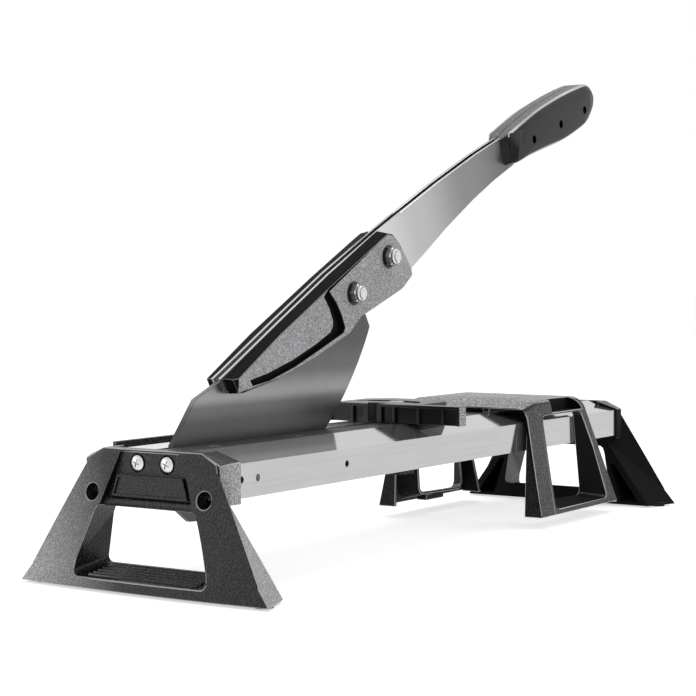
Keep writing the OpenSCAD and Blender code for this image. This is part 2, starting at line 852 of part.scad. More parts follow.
module fence() {
    color(black) in_frame() translate([0, fence_y, 0]) difference() {
        union() {
            translate([-fence_l / 2, 0, fence_z0]) cube([fence_l, fence_bar_d, fence_top - fence_z0]);
            translate([0, 0, fence_z0]) linear_extrude(fence_top - fence_z0) fence_plate_outline();
        }
        translate([0, 0, fence_z0 - 1]) linear_extrude(fence_top - fence_plate_t - fence_z0 + 1)
            difference() {
                fence_plate_inner();
                translate([-fence_l / 2, -1]) square([fence_l, fence_relief_r + fence_skirt + 1]);
            }
        both_sides() fence_cells();
        translate([0, 0, fence_z0 - 1]) linear_extrude(fence_h + 2) fence_gap_outline();
        translate([0, 0, fence_z0 - 1]) linear_extrude(fence_h + 2)
            swing_slot(slot_half, swing_angle + pin_angle);
        translate([0, 0, fence_top - fence_recess_t]) linear_extrude(fence_recess_t + 1)
            swing_slot(fence_recess_half, swing_angle);
    }
}

// Two pins that keep the fence turning about the middle of its face
module fence_pins() {
    color(steel) in_frame() both_sides()
        translate([swing_r * sin(pin_angle), fence_y + swing_r * cos(pin_angle),
            strip_z - rail_wall])
            cylinder(d = fence_bolt_d, h = fence_top - fence_recess_t - 0.5 - strip_z + rail_wall);
}

bolt_seat_z = fence_top - fence_recess_t + 0.1;
bolt_end_z = rail_z - clamp_plate_t - knob_h + 1;

module fence_bolt() {
    color(zinc) in_frame() translate([0, fence_bolt_y, 0]) difference() {
        union() {
            translate([0, 0, bolt_end_z])
                cylinder(d = fence_bolt_d, h = bolt_seat_z + fence_washer_t - bolt_end_z + 0.1);
            translate([0, 0, bolt_seat_z + fence_washer_t])
                cylinder(d = fence_head_d, h = fence_head_h);
        }
        translate([0, 0, bolt_seat_z + fence_washer_t + fence_head_h - 1.2])
            cylinder(d = 4 / cos(30), h = 2, $fn = 6);
    }
}

module fence_washer() {
    color(zinc) in_frame() translate([0, fence_bolt_y, bolt_seat_z]) difference() {
        cylinder(d = fence_head_d + 0.8, h = fence_washer_t);
        translate([0, 0, -1]) cylinder(d = fence_bolt_d + 2 * fit, h = fence_washer_t + 2);
    }
}

module clamp_plate() {
    color(steel) in_frame() difference() {
        translate([-clamp_plate_w / 2, fence_bolt_y - clamp_plate_l / 2, rail_z - clamp_plate_t])
            cube([clamp_plate_w, clamp_plate_l, clamp_plate_t]);
        translate([0, fence_bolt_y, rail_z - clamp_plate_t - 1])
            cylinder(d = fence_bolt_d + 2 * lay, h = clamp_plate_t + 2);
    }
}

knob_top = rail_z - clamp_plate_t - knob_gap;

module clamp_knob() {
    color(black) in_frame() translate([0, fence_bolt_y, knob_top - knob_h]) difference() {
        cylinder(d = knob_d, h = knob_h);
        for (i = [0:5]) rotate(i * 60) translate([knob_d / 2 + 2.2, 0, -1])
            cylinder(d = 9, h = knob_h + 2);
        translate([0, 0, -1]) cylinder(d = insert_d, h = knob_h + 2);
    }
}

module knob_insert() {
    color(brass) in_frame() translate([0, fence_bolt_y, knob_top - knob_h]) difference() {
        cylinder(d = insert_d, h = knob_h);
        translate([0, 0, -1]) cylinder(d = fence_bolt_d + 2 * fit, h = knob_h + 2);
    }
}

// Board support

support_y1 = support_y + support_foot_l;
support_top_y1 = support_y + support_top_l;
support_bend_z = support_top - support_bend_r;
support_bend_x = support_top_x - support_bend_r;
support_in_x = rails_x + 0.6;

// A ramp leads boards onto the top, and the front leans back a little
ramp_l = 24;
ramp_h = 4.7;
front_lean = 4;

// Half of the outline across the rails, from a foot over the bend to the top
function band(inset, drop, last_angle) = concat(
    [[support_x - inset, support_foot_z - (inset > 0 ? 1 : 0)]],
    [for (i = [0:6]) let (a = last_angle * i / 6)
        [support_bend_x, support_bend_z - drop]
            + (support_bend_r - inset) * [cos(a), sin(a)]]);

// The hollow under the top, and the arch in the front between the two legs
hollow_angle = asin((support_bend_r - support_plate_t) / (support_bend_r - support_skin));
arch_r = 12;
arch_x = rails_x + 4;
arch_top = support_top - ramp_h - 2;

function arch_half() = concat([[arch_x, support_foot_z - 1]],
    [for (i = [0:6]) [arch_x - arch_r, arch_top - arch_r] + arch_r * [cos(15 * i), sin(15 * i)]]);

module support_slice(y, drop) {
    along_y(y, y + slice) polygon(mirrored(band(0, drop, 90)));
}

module support_block() {
    hull() {
        support_slice(support_y, ramp_h);
        support_slice(support_y + ramp_l, 0);
    }
    along_y(support_y + ramp_l, support_y1) polygon(mirrored(band(0, 0, 90)));
}

// The side windows narrow inwards: outlines along Y and Z at the band and at the rails
window_band = [[26, 12], [122.5, 12], [115, 88], [24, 88]];
window_rails = [[35.6, 17.2], [104.8, 15.5], [91, 86], [29, 86]];
window_corner = 5;
rim_t = 2.4;

module window_outline(points, grow) {
    offset(r = window_corner + grow, $fn = 32) offset(delta = -window_corner)
        polygon([for (p = points) [support_y + p[0], p[1] + support_foot_z - 8]]);
}

module support_window(grow) {
    hull() {
        along_x(support_in_x - slice, support_in_x) window_outline(window_rails, grow);
        along_x(support_x + slice, support_x + 2 * slice) window_outline(window_band, grow);
    }
}

// A recess over each window is open at the bend; its arch stops at a wall under the top
recess_arch = [[45, 88.2], [47, 92.6], [51, 96], [57.5, 98.4], [62, 101], [90, 101], [92.5, 98.4],
    [96.5, 95], [99, 90.5], [99.8, 88.2]];
recess_wall_t = 2.5;
recess_floor_z = 86;

function at_recess(points) = [for (p = points) [support_y + p[0], p[1]]];

module support_recess() {
    along_x(support_bend_x, support_top_x + 1) polygon(at_recess(recess_arch));
}

// Behind the recess, between the bend and the wall under the top
module recess_end() {
    intersection() {
        along_x(support_bend_x - recess_wall_t, support_top_x)
            polygon(at_recess([[97, recess_floor_z], [102.4, recess_floor_z], [102.4, 97],
                [92, 98.4]]));
        along_y(support_y, support_y1) polygon(mirrored(band(0.3, 0, 90)));
    }
}

module recess_walls() {
    along_x(support_bend_x - recess_wall_t, support_bend_x)
        polygon(at_recess([[45, recess_floor_z], [100, recess_floor_z], [100, 93], [47, 93]]));
    along_x(support_bend_x - recess_wall_t, support_top_x - 2)
        polygon(at_recess([[45, recess_floor_z + 0.8], [99.8, recess_floor_z + 0.8], [99.8, 88.2],
            [45, 88.2]]));
}

// Along the slanting rear edge: a web on the inner side of each back leg
module support_rear_cut(shift, depth) {
    polygon([[support_y1 - shift, support_foot_z - 1], [support_y1 + depth, support_foot_z - 1],
        [support_y1 + depth, support_top + 1], [support_top_y1 - shift, support_top + 1]]);
}

module rear_web() {
    along_x(support_in_x, support_x + 1) difference() {
        support_rear_cut(support_skin, 1);
        translate([support_y, support_bend_z]) square(2 * support_foot_l);
    }
}

// Runners that rest on the table, and a lug under each side
module support_seats() {
    translate([flat_x - 6, support_y + 5, table_z + lay])
        cube([6, support_top_l - 14, support_rise - support_plate_t]);
    translate([support_in_x + 4, support_y + 52, support_foot_z])
        cube([10, 28.5, 5]);
}

module support() {
    color(charcoal) in_frame() difference() {
        union() {
            difference() {
                support_block();
                along_y(support_y + support_skin, support_y1 + 1)
                    polygon(mirrored(band(support_skin, 0, hollow_angle)));
                along_y(support_y - 1, support_y1) polygon(mirrored(arch_half()));
            }
            both_sides() {
                intersection() {
                    support_window(rim_t);
                    along_y(support_y + 1, support_y1) polygon(mirrored(band(0, 0, 90)));
                }
                intersection() {
                    rear_web();
                    along_y(support_y, support_y1 + 1) polygon(mirrored(band(0.5, 0, 90)));
                }
                support_seats();
                recess_walls();
                recess_end();
            }
        }
        along_x(-support_x - 1, support_x + 1) {
            support_rear_cut(0, 20);
            polygon([[support_y - 1, support_foot_z - 1], [support_y, support_foot_z - 1],
                [support_y + front_lean, support_top + 1], [support_y - 1, support_top + 1]]);
        }
        both_sides() {
            support_window(0);
            support_recess();
        }
        for (row = [0:3], col = [-4:4])
            translate([col * 7, support_y + ramp_l + 6 + row * 7, support_top - 0.6])
                cylinder(d = 3, h = 2);
    }
}

front_foot();
rear_foot();
foot_pads();
near_rail();
far_rail();
near_table_strip();
counter_blade();
edge_rest();
strip_screws();
front_foot_screws();
rear_foot_screws();
hinge_pin();
thrust_washers();
rail_spacer();
rear_cross_pin();
blade();
blade_bush();
near_lever_plate();
far_lever_plate();
tang_spacer();
near_cover();
far_cover();
cover_bolts();
cover_nuts();
cover_washers();
near_grip();
far_grip();
grip_screws();
grip_nuts();
fence();
fence_pins();
fence_bolt();
fence_washer();
clamp_plate();
clamp_knob();
knob_insert();
support();
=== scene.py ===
"""Looks of the laminate flooring cutter: camera, light, materials and detailed pieces."""
import json
import math

import bmesh
import bpy
from mathutils import Matrix, Vector


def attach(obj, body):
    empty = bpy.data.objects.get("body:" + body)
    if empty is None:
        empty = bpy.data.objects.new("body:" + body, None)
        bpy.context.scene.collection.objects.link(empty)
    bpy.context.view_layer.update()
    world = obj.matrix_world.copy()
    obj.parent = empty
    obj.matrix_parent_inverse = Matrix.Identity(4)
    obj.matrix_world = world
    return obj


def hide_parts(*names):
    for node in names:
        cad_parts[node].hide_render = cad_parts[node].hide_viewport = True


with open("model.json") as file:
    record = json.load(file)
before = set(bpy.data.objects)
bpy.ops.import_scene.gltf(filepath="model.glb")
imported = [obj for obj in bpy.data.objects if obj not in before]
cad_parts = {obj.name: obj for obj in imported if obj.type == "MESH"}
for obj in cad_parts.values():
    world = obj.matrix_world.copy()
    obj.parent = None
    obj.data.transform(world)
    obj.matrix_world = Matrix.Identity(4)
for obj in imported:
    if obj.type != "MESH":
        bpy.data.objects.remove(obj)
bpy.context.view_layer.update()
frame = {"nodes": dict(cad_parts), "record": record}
scene = bpy.context.scene
MM = 0.001

# Camera: fitted to the picture, in the model's frame
CAMERA_AT = (0.72428, -1.16255, 0.19674)
CAMERA_TURN = math.radians(33.575)
CAMERA_TILT = math.radians(87.8535)
CAMERA_ROLL = math.radians(-0.123)
LENS_MM = 92.5

camera = bpy.data.objects.new("camera", bpy.data.cameras.new("camera"))
scene.collection.objects.link(camera)
camera.matrix_world = (Matrix.Translation(CAMERA_AT) @ Matrix.Rotation(CAMERA_TURN, 4, "Z")
                       @ Matrix.Rotation(CAMERA_TILT, 4, "X")
                       @ Matrix.Rotation(CAMERA_ROLL, 4, "Z"))
camera.data.lens = LENS_MM
camera.data.sensor_width = 36.0
camera.data.sensor_fit = "HORIZONTAL"
camera.data.clip_end = 100.0
scene.camera = camera
scene.view_settings.view_transform = "Standard"

# Places that the detailed pieces share with the CAD model. COVER_X is the outer face of a
# blade cover, in millimetres from the middle plane
PIVOT = Vector((0.0, 0.0493, 0.0717))
LEVER_ANGLE = math.radians(25.0)
GRIP_END = Vector((0.6405, 0.02))
FOOT_BULGE = 0.0043
PAD_STAND = 0.0015
REACH = (PIVOT.y + GRIP_END.x * math.cos(LEVER_ANGLE) - GRIP_END.y * math.sin(LEVER_ANGLE))
ORIGIN_Y = (REACH - FOOT_BULGE) / 2
LEVER = (Matrix.Translation(Vector((0, PIVOT.y - ORIGIN_Y, PIVOT.z + PAD_STAND)))
         @ Matrix.Rotation(LEVER_ANGLE, 4, "X"))
COVER_X = 13.0

# Faces that meet at more than this angle, in degrees, keep a sharp edge between them
SMOOTH_ANGLE = 30.0

# Moulded plastic is a little bluer than the grey it is given
PLASTIC_TINT = (1.0, 1.0, 1.03)


# Node helpers

def new_material(name):
    m = bpy.data.materials.new(name)
    m.use_nodes = True
    m.node_tree.nodes.clear()
    return m, m.node_tree.nodes, m.node_tree.links


def shader(nodes, links, metallic, roughness, **more):
    out = nodes.new("ShaderNodeOutputMaterial")
    bsdf = nodes.new("ShaderNodeBsdfPrincipled")
    links.new(bsdf.outputs["BSDF"], out.inputs["Surface"])
    bsdf.inputs["Metallic"].default_value = metallic
    bsdf.inputs["Roughness"].default_value = roughness
    for key, value in more.items():
        bsdf.inputs[key].default_value = value
    return bsdf


def noise(nodes, links, scale, detail=2.0, stretch=None, roughness=0.5):
    at = nodes.new("ShaderNodeTexCoord")
    n = nodes.new("ShaderNodeTexNoise")
    n.inputs["Scale"].default_value = scale
    n.inputs["Detail"].default_value = detail
    n.inputs["Roughness"].default_value = roughness
    if stretch is None:
        links.new(at.outputs["Object"], n.inputs["Vector"])
    else:
        m = nodes.new("ShaderNodeMapping")
        m.inputs["Scale"].default_value = stretch
        links.new(at.outputs["Object"], m.inputs["Vector"])
        links.new(m.outputs["Vector"], n.inputs["Vector"])
    return n


def ramp(nodes, links, factor, stops):
    r = nodes.new("ShaderNodeValToRGB")
    for i, (place, grey) in enumerate(stops):
        colour = (*grey, 1) if isinstance(grey, tuple) else (grey, grey, grey, 1)
        e = r.color_ramp.elements[i] if i < 2 else r.color_ramp.elements.new(place)
        e.position = place
        e.color = colour
    links.new(factor, r.inputs["Fac"])
    return r


def span(nodes, links, factor, low, high):
    m = nodes.new("ShaderNodeMapRange")
    m.inputs["To Min"].default_value = low
    m.inputs["To Max"].default_value = high
    links.new(factor, m.inputs["Value"])
    return m


def mix(nodes, links, a, b, kind="MULTIPLY", factor=None):
    """Mixes two colours, fully unless a factor is given."""
    m = nodes.new("ShaderNodeMix")
    m.data_type = "RGBA"
    m.blend_type = kind
    m.inputs["Factor"].default_value = 1.0
    if factor is not None:
        links.new(factor, m.inputs["Factor"])
    links.new(a, m.inputs["A"])
    links.new(b, m.inputs["B"])
    return m.outputs["Result"]


def bump(nodes, links, bsdf, height, strength, distance):
    b = nodes.new("ShaderNodeBump")
    b.inputs["Strength"].default_value = strength
    b.inputs["Distance"].default_value = distance
    links.new(height, b.inputs["Height"])
    links.new(b.outputs["Normal"], bsdf.inputs["Normal"])


def place_along(nodes, links, axis, start, end):
    """A value that runs from 0 to 1 between two places along a direction of the piece."""
    at = nodes.new("ShaderNodeTexCoord")
    along = nodes.new("ShaderNodeVectorMath")
    along.operation = "DOT_PRODUCT"
    along.inputs[1].default_value = axis
    links.new(at.outputs["Object"], along.inputs[0])
    part = nodes.new("ShaderNodeMapRange")
    part.inputs["From Min"].default_value = start
    part.inputs["From Max"].default_value = end
    links.new(along.outputs["Value"], part.inputs["Value"])
    return part.outputs["Result"]


def grained(name, grey, spread, roughness, grain=850.0, relief=0.5, gloss=0.25, sheen_ramp=None):
    """Moulded plastic with a spark-eroded grain: light and dark specks, broad wear.
    The last argument is (axis, start, end, grey): along that axis the plastic turns to a paler
    grey, a painted sheen."""
    m, nodes, links = new_material(name)
    bsdf = shader(nodes, links, 0.0, roughness, **{"Specular IOR Level": gloss})
    fine = noise(nodes, links, grain, 2.0, roughness=0.6)
    low, high = grey * (1 - spread), grey * (1 + 2.6 * spread)
    colour = ramp(nodes, links, fine.outputs["Fac"],
                  [(0.44, tuple(low * t for t in PLASTIC_TINT)),
                   (0.62, tuple(high * t for t in PLASTIC_TINT))])
    broad = noise(nodes, links, 14.0, 2.0)
    shade = ramp(nodes, links, broad.outputs["Fac"], [(0.3, 0.78), (0.7, 1.0)])
    shaded = mix(nodes, links, colour.outputs["Color"], shade.outputs["Color"])
    # Painted sheen: along one direction the grain turns to a paler grey
    if sheen_ramp:
        axis, start, end, pale = sheen_ramp
        sheen_tone = ramp(nodes, links, fine.outputs["Fac"],
                      [(0.42, pale * 0.65), (0.62, pale * 1.35)])
        shaded = mix(nodes, links, shaded, sheen_tone.outputs["Color"], "MIX",
                     place_along(nodes, links, axis, start, end))
    links.new(shaded, bsdf.inputs["Base Color"])
    rough = span(nodes, links, fine.outputs["Fac"], roughness - 0.08, roughness + 0.12)
    links.new(rough.outputs["Result"], bsdf.inputs["Roughness"])
    bump(nodes, links, bsdf, fine.outputs["Fac"], relief, 0.0008)
    return m


def smooth_plastic(name, grey, roughness, gloss=0.5):
    """Smooth moulded plastic with a faint orange peel and rubbed patches."""
    m, nodes, links = new_material(name)
    bsdf = shader(nodes, links, 0.0, roughness, **{"Specular IOR Level": gloss})
    broad = noise(nodes, links, 22.0, 3.0)
    colour = ramp(nodes, links, broad.outputs["Fac"], [(0.3, grey * 0.8), (0.7, grey * 1.25)])
    links.new(colour.outputs["Color"], bsdf.inputs["Base Color"])
    rough = span(nodes, links, broad.outputs["Fac"], roughness - 0.06, roughness + 0.08)
    links.new(rough.outputs["Result"], bsdf.inputs["Roughness"])
    fine = noise(nodes, links, 600.0, 2.0)
    bump(nodes, links, bsdf, fine.outputs["Fac"], 0.04, 0.0003)
    return m


def metal(name, low, high, roughness, stretch=(1.0, 1.0, 1.0), grain=300.0, relief=0.05,
          tint=(1.0, 1.0, 1.01), metallic=1.0):
    """Bare metal: drawn or ground lines along one direction, soft stains over all."""
    m, nodes, links = new_material(name)
    bsdf = shader(nodes, links, metallic, roughness)
    lines = noise(nodes, links, grain, 3.0, stretch)
    colour = ramp(nodes, links, lines.outputs["Fac"],
                  [(0.3, tuple(low * t for t in tint)), (0.7, tuple(high * t for t in tint))])
    broad = noise(nodes, links, 9.0, 2.0)
    shade = ramp(nodes, links, broad.outputs["Fac"], [(0.3, 0.92), (0.7, 1.0)])
    links.new(mix(nodes, links, colour.outputs["Color"], shade.outputs["Color"]),
              bsdf.inputs["Base Color"])
    rough = span(nodes, links, lines.outputs["Fac"], roughness * 0.75, roughness * 1.35)
    links.new(rough.outputs["Result"], bsdf.inputs["Roughness"])
    bump(nodes, links, bsdf, lines.outputs["Fac"], relief, 0.0002)
    return m


def graded(name, low, high, roughness, axis, start, end, stops, grain, relief):
    """Metal whose tone changes along one direction of the piece, under a fine blasted or
    ground grain. axis is that direction, start and end are the places along it where the
    ramp begins and ends."""
    m, nodes, links = new_material(name)
    bsdf = shader(nodes, links, 1.0, roughness)
    tone = ramp(nodes, links, place_along(nodes, links, axis, start, end), stops)
    tone.color_ramp.interpolation = "EASE"
    fine = noise(nodes, links, grain, 3.0, roughness=0.6)
    speck = ramp(nodes, links, fine.outputs["Fac"], [(0.35, low), (0.65, high)])
    links.new(mix(nodes, links, tone.outputs["Color"], speck.outputs["Color"]),
              bsdf.inputs["Base Color"])
    rough = span(nodes, links, fine.outputs["Fac"], roughness * 0.8, roughness * 1.25)
    links.new(rough.outputs["Result"], bsdf.inputs["Roughness"])
    bump(nodes, links, bsdf, fine.outputs["Fac"], relief, 0.0003)
    return m


# Grain is stretched along the drawn rails. The blade's tone changes with the height above the
# table, a painted reflection, and the lever plates' tone with the distance from the hinge, a
# painted sheen
DRAWN = (1.0, 0.02, 1.0)
TABLE_Z = 0.0905
BLADE_RAMP = 0.1
PLATE_RAMP = (0.27, 0.5)
LEVER_DIRECTION = (0.0, math.cos(LEVER_ANGLE), math.sin(LEVER_ANGLE))
HINGE_ALONG = Vector(LEVER_DIRECTION).dot(LEVER.translation)
MATERIALS = {
    "foot_plastic": grained("foot_plastic", 0.012, 0.95, 0.26, 850.0, 0.5),
    "support_plastic": grained("support_plastic", 0.008, 0.95, 0.30, 850.0, 0.5, gloss=0.1),
    "pad_rubber": grained("pad_rubber", 0.020, 0.3, 0.8, 700.0, 0.15),
    "rail_metal": metal("rail_metal", 0.44, 0.48, 0.08, DRAWN, 700.0, 0.004, metallic=0.8),
    "strip_plastic": grained("strip_plastic", 0.035, 0.6, 0.45, 1000.0, 0.2),
    "ground_steel": metal("ground_steel", 0.62, 0.80, 0.22, (0.05, 1.0, 1.0), 900.0, 0.08),
    "zinc_screws": metal("zinc_screws", 0.60, 0.74, 0.24, grain=1400.0, relief=0.06),
    "pin_steel": metal("pin_steel", 0.50, 0.62, 0.3, grain=900.0),
    # Painted reflection: the blade's grey rises and falls with the height above the table
    "blade_steel": graded("blade_steel", 0.94, 1.0, 0.3, (0, 0, 1), TABLE_Z,
                          TABLE_Z + BLADE_RAMP,
                          [(0.0, 0.065), (0.9, 0.075), (0.12, 0.075), (0.22, 0.12), (0.3, 0.26),
                           (0.46, 0.12), (0.66, 0.085)], 60.0, 0.01),
    "brass": metal("brass", 0.72, 0.80, 0.25, grain=900.0, tint=(1.0, 0.8, 0.4)),
    # Painted sheen: the lever plates are paler near the hinge and darker further out
    "lever_metal": graded("lever_metal", 0.86, 1.0, 0.26, LEVER_DIRECTION,
                          HINGE_ALONG + PLATE_RAMP[0], HINGE_ALONG + PLATE_RAMP[1],
                          [(0.0, 0.64), (1.0, 0.12), (0.25, 0.48), (0.6, 0.25)], 1500.0, 0.12),
    "cover_plastic": grained("cover_plastic", 0.42, 0.3, 0.5, 1100.0, 0.3),
    "grip_plastic": smooth_plastic("grip_plastic", 0.004, 0.2, gloss=0.2),
    "fence_plastic": smooth_plastic("fence_plastic", 0.006, 0.30, gloss=0.3),
}
# Second materials of the pieces, for some of their faces and for rounded edges. The front
# foot's face turns paler towards its far leg, a painted sheen, along the direction and between the
# two places that follow
SHEEN_WAY = (-0.94, 0.0, -0.34)
SHEEN_SPAN = (0.008, 0.085)
# Painted shade: black for faces that lie in shade, in recesses, hollows and grooves and on shaded
# walls
PAINTED_SHADE = smooth_plastic("painted_shade_black", 0.004, 0.75, gloss=0.1)
PALE_GRAIN = grained("pale_grain", 0.34, 0.8, 0.5, 1000.0)
# Painted light: paler copies of the black plastic for the support's sides and top, and for the
# front foot's sides
LIT_SIDE_GRAIN = grained("lit_side_grain", 0.035, 0.95, 0.4, 850.0)
LIT_TOP_GRAIN = grained("lit_top_grain", 0.21, 0.95, 0.35, 850.0)
LIT_GRAIN = grained("lit_grain", 0.44, 0.3, 0.4, 1100.0)
SHEEN_GRAIN = grained("painted_sheen_grain", 0.016, 0.95, 0.26, 1000.0, 0.5,
                     sheen_ramp=(SHEEN_WAY, *SHEEN_SPAN, 0.52))
# Edge materials: the pale one and the dim one are painted highlights on rounded edges; the grey one
# is the covers' edge colour
PALE_HIGHLIGHT_EDGE = smooth_plastic("painted_highlight_edges", 0.5, 0.3)
GREY_EDGE = smooth_plastic("grey_edges", 0.12, 0.3)
DIM_HIGHLIGHT_EDGE = smooth_plastic("painted_dim_highlight_edges", 0.06, 0.26)
# Painted light on the grip: a paler grain for its upward flank and a painted highlight along its
# edge
GRIP_LIT_TOP = grained("grip_lit_top", 0.15, 0.4, 0.4, 1100.0)
GRIP_HIGHLIGHT = smooth_plastic("grip_painted_highlight", 0.55, 0.25)
# Painted shade: a darker copy of the zinc for the nuts' hexagon sides
SHADED_NUT_SIDE = metal("painted_shade_nut_side", 0.16, 0.42, 0.3, grain=500.0)
DARK_METAL = metal("dark_metal", 0.03, 0.06, 0.4, grain=900.0)
# Painted highlight: bright metal for the rounded edges of rails, plates and counter blade
BRIGHT_EDGE = metal("bright_edges", 0.80, 0.92, 0.25)

# Every CAD node gets the material of its slot
for entry in frame["record"]["subparts"]:
    node = frame["nodes"][entry["node"]]
    node.data.materials.clear()
    node.data.materials.append(MATERIALS[entry["material_slot"]])


# Mesh helpers

def body_of(node):
    for body, nodes in frame["record"]["behaviour"]["bodies"].items():
        if node in nodes:
            return body
    raise KeyError(node)


def even_normals(obj):
    """Flat faces stay flat in the light, and only the narrow rounded edges turn."""
    m = obj.modifiers.new("normals", "WEIGHTED_NORMAL")
    m.keep_sharp = True
    m.weight = 100
    mesh = bpy.data.meshes.new_from_object(obj.evaluated_get(bpy.context.evaluated_depsgraph_get()))
    obj.modifiers.clear()
    obj.data = mesh


def piece(name, bm, node, materials, smooth_angle=SMOOTH_ANGLE, flat=False):
    """Makes an object of a bmesh; it rides on the body of that node and replaces the node."""
    mesh = bpy.data.meshes.new(name)
    bm.to_mesh(mesh)
    bm.free()
    for material in materials:
        mesh.materials.append(material)
    mesh.shade_smooth()
    mesh.set_sharp_from_angle(angle=math.radians(smooth_angle))
    obj = bpy.data.objects.new(name, mesh)
    scene.collection.objects.link(obj)
    if flat:
        even_normals(obj)
    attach(obj, body_of(node))
    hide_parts(node)
    return obj


# Copies of nodes: how close corners are welded, in metres, and up to what angle, in degrees,
# faces count as one flat face
WELD = 2e-6
FLAT_ANGLE = 0.4


def node_mesh(node):
    """A copy of a node's mesh, welded, with its flat faces joined."""
    bm = bmesh.new()
    bm.from_mesh(frame["nodes"][node].data)
    for f in bm.faces:
        f.material_index = 0
    bmesh.ops.remove_doubles(bm, verts=bm.verts, dist=WELD)
    bmesh.ops.dissolve_limit(bm, angle_limit=math.radians(FLAT_ANGLE), verts=bm.verts,
                             edges=bm.edges)
    return bm


# Rounded edges: the least angle between the faces, in degrees, the least length where faces
# are picked, the steps of the rounding, and the angle from which it looks sharp
EDGE_ANGLE = 32.0
SHORTEST_EDGE = 0.3 * MM
EDGE_STEPS = 2
EDGE_SMOOTH_ANGLE = 20.0


def rounded(node, width, edge, others=(), pick=None, spare=None):
    """The node with rounded edges in a material of their own; where that is paler than the faces it
    is a painted highlight.
    pick gives a face 0 for the node's own material, or the number of one of the others.
    Then only the edges that stand out are rounded, at their full width. spare tells
    which edges stay sharp all the same."""
    bm = node_mesh(node)
    edges = []
    for e in bm.edges:
        if len(e.link_faces) == 2 and e.calc_face_angle(0.0) > math.radians(EDGE_ANGLE):
            if pick is None or (e.is_convex and e.calc_length() > SHORTEST_EDGE):
                if spare is None or not spare(e):
                    edges.append(e)
    if pick is not None:
        for f in bm.faces:
            f.material_index = pick(f)
    bmesh.ops.bevel(bm, geom=edges, offset=width * MM, offset_type="OFFSET",
                    segments=EDGE_STEPS, profile=0.5, affect="EDGES",
                    clamp_overlap=pick is None, loop_slide=True, material=len(others) + 1)
    own = frame["nodes"][node].data.materials[0]
    piece(node + "_rounded", bm, node, (own, *others, edge), EDGE_SMOOTH_ANGLE, flat=True)


# Floor and light: grey of the floor, its glow for direct views, the world's light on the
# object, and how far the floor reaches from its middle, in metres
FLOOR = 0.90
LIFT = 0.6
WORLD_LIGHT = 0.45
FLOOR_HALF = 30.0


def seen_directly(nodes, links):
    """1 for rays that show the background itself, in the camera, in gloss or through glass."""
    path = nodes.new("ShaderNodeLightPath")
    first = nodes.new("ShaderNodeMath")
    first.operation = "MAXIMUM"
    links.new(path.outputs["Is Camera Ray"], first.inputs[0])
    links.new(path.outputs["Is Glossy Ray"], first.inputs[1])
    both = nodes.new("ShaderNodeMath")
    both.operation = "MAXIMUM"
    links.new(first.outputs["Value"], both.inputs[0])
    links.new(path.outputs["Is Transmission Ray"], both.inputs[1])
    return both.outputs["Value"]


def make_floor():
    """A pale floor that keeps the object's shadow and glows for direct views only."""
    bm = bmesh.new()
    bmesh.ops.create_grid(bm, x_segments=8, y_segments=8, size=FLOOR_HALF)
    mesh = bpy.data.meshes.new("floor")
    bm.to_mesh(mesh)
    bm.free()
    m, nodes, links = new_material("floor")
    out = nodes.new("ShaderNodeOutputMaterial")
    diffuse = nodes.new("ShaderNodeBsdfDiffuse")
    paper = noise(nodes, links, 40.0)
    tone = ramp(nodes, links, paper.outputs["Fac"], [(0.0, FLOOR - 0.01), (1.0, FLOOR)])
    links.new(tone.outputs["Color"], diffuse.inputs["Color"])
    glow = nodes.new("ShaderNodeEmission")
    level = nodes.new("ShaderNodeMath")
    level.operation = "MULTIPLY"
    level.inputs[1].default_value = LIFT
    links.new(seen_directly(nodes, links), level.inputs[0])
    links.new(level.outputs["Value"], glow.inputs["Strength"])
    add = nodes.new("ShaderNodeAddShader")
    links.new(diffuse.outputs["BSDF"], add.inputs[0])
    links.new(glow.outputs["Emission"], add.inputs[1])
    links.new(add.outputs["Shader"], out.inputs["Surface"])
    mesh.materials.append(m)
    obj = bpy.data.objects.new("floor", mesh)
    scene.collection.objects.link(obj)


def make_world():
    """White for direct views, and WORLD_LIGHT for the light on the object."""
    world = bpy.data.worlds.new("studio")
    scene.world = world
    world.use_nodes = True
    nodes, links = world.node_tree.nodes, world.node_tree.links
    nodes.clear()
    out = nodes.new("ShaderNodeOutputWorld")
    back = nodes.new("ShaderNodeBackground")
    back.inputs["Color"].default_value = (1, 1, 1, 1)
    level = nodes.new("ShaderNodeMapRange")
    level.inputs["To Min"].default_value = WORLD_LIGHT
    level.inputs["To Max"].default_value = 1.0
    links.new(seen_directly(nodes, links), level.inputs["Value"])
    links.new(level.outputs["Result"], back.inputs["Strength"])
    links.new(back.outputs["Background"], out.inputs["Surface"])


def lamp(name, at, aim, size, watts):
    """A rectangular soft box at a place, turned to a point, with its two sides in metres."""
    data = bpy.data.lights.new(name, "AREA")
    data.shape = "RECTANGLE"
    data.size, data.size_y = size
    data.energy = watts
    obj = bpy.data.objects.new(name, data)
    obj.location = at
    obj.rotation_euler = (Vector(aim) - Vector(at)).to_track_quat("-Z", "Y").to_euler()
    scene.collection.objects.link(obj)


make_world()
make_floor()
lamp("left_box", (-1.65, -1.55, 0.30), (0, -0.3, 0.05), (1.3, 1.0), 9)
lamp("right_box", (2.2, 1.3, 1.1), (0, 0.0, 0.1), (1.8, 1.8), 13)
lamp("top_box", (0.0, 0.3, 2.2), (0, 0.1, 0.1), (1.6, 1.6), 14)


# Detailed pieces: sides of a round cutter and of a turned piece, steps of a curve per point
ROD_SIDES = 32
TURN_SIDES = 72
CURVE_STEPS = 6


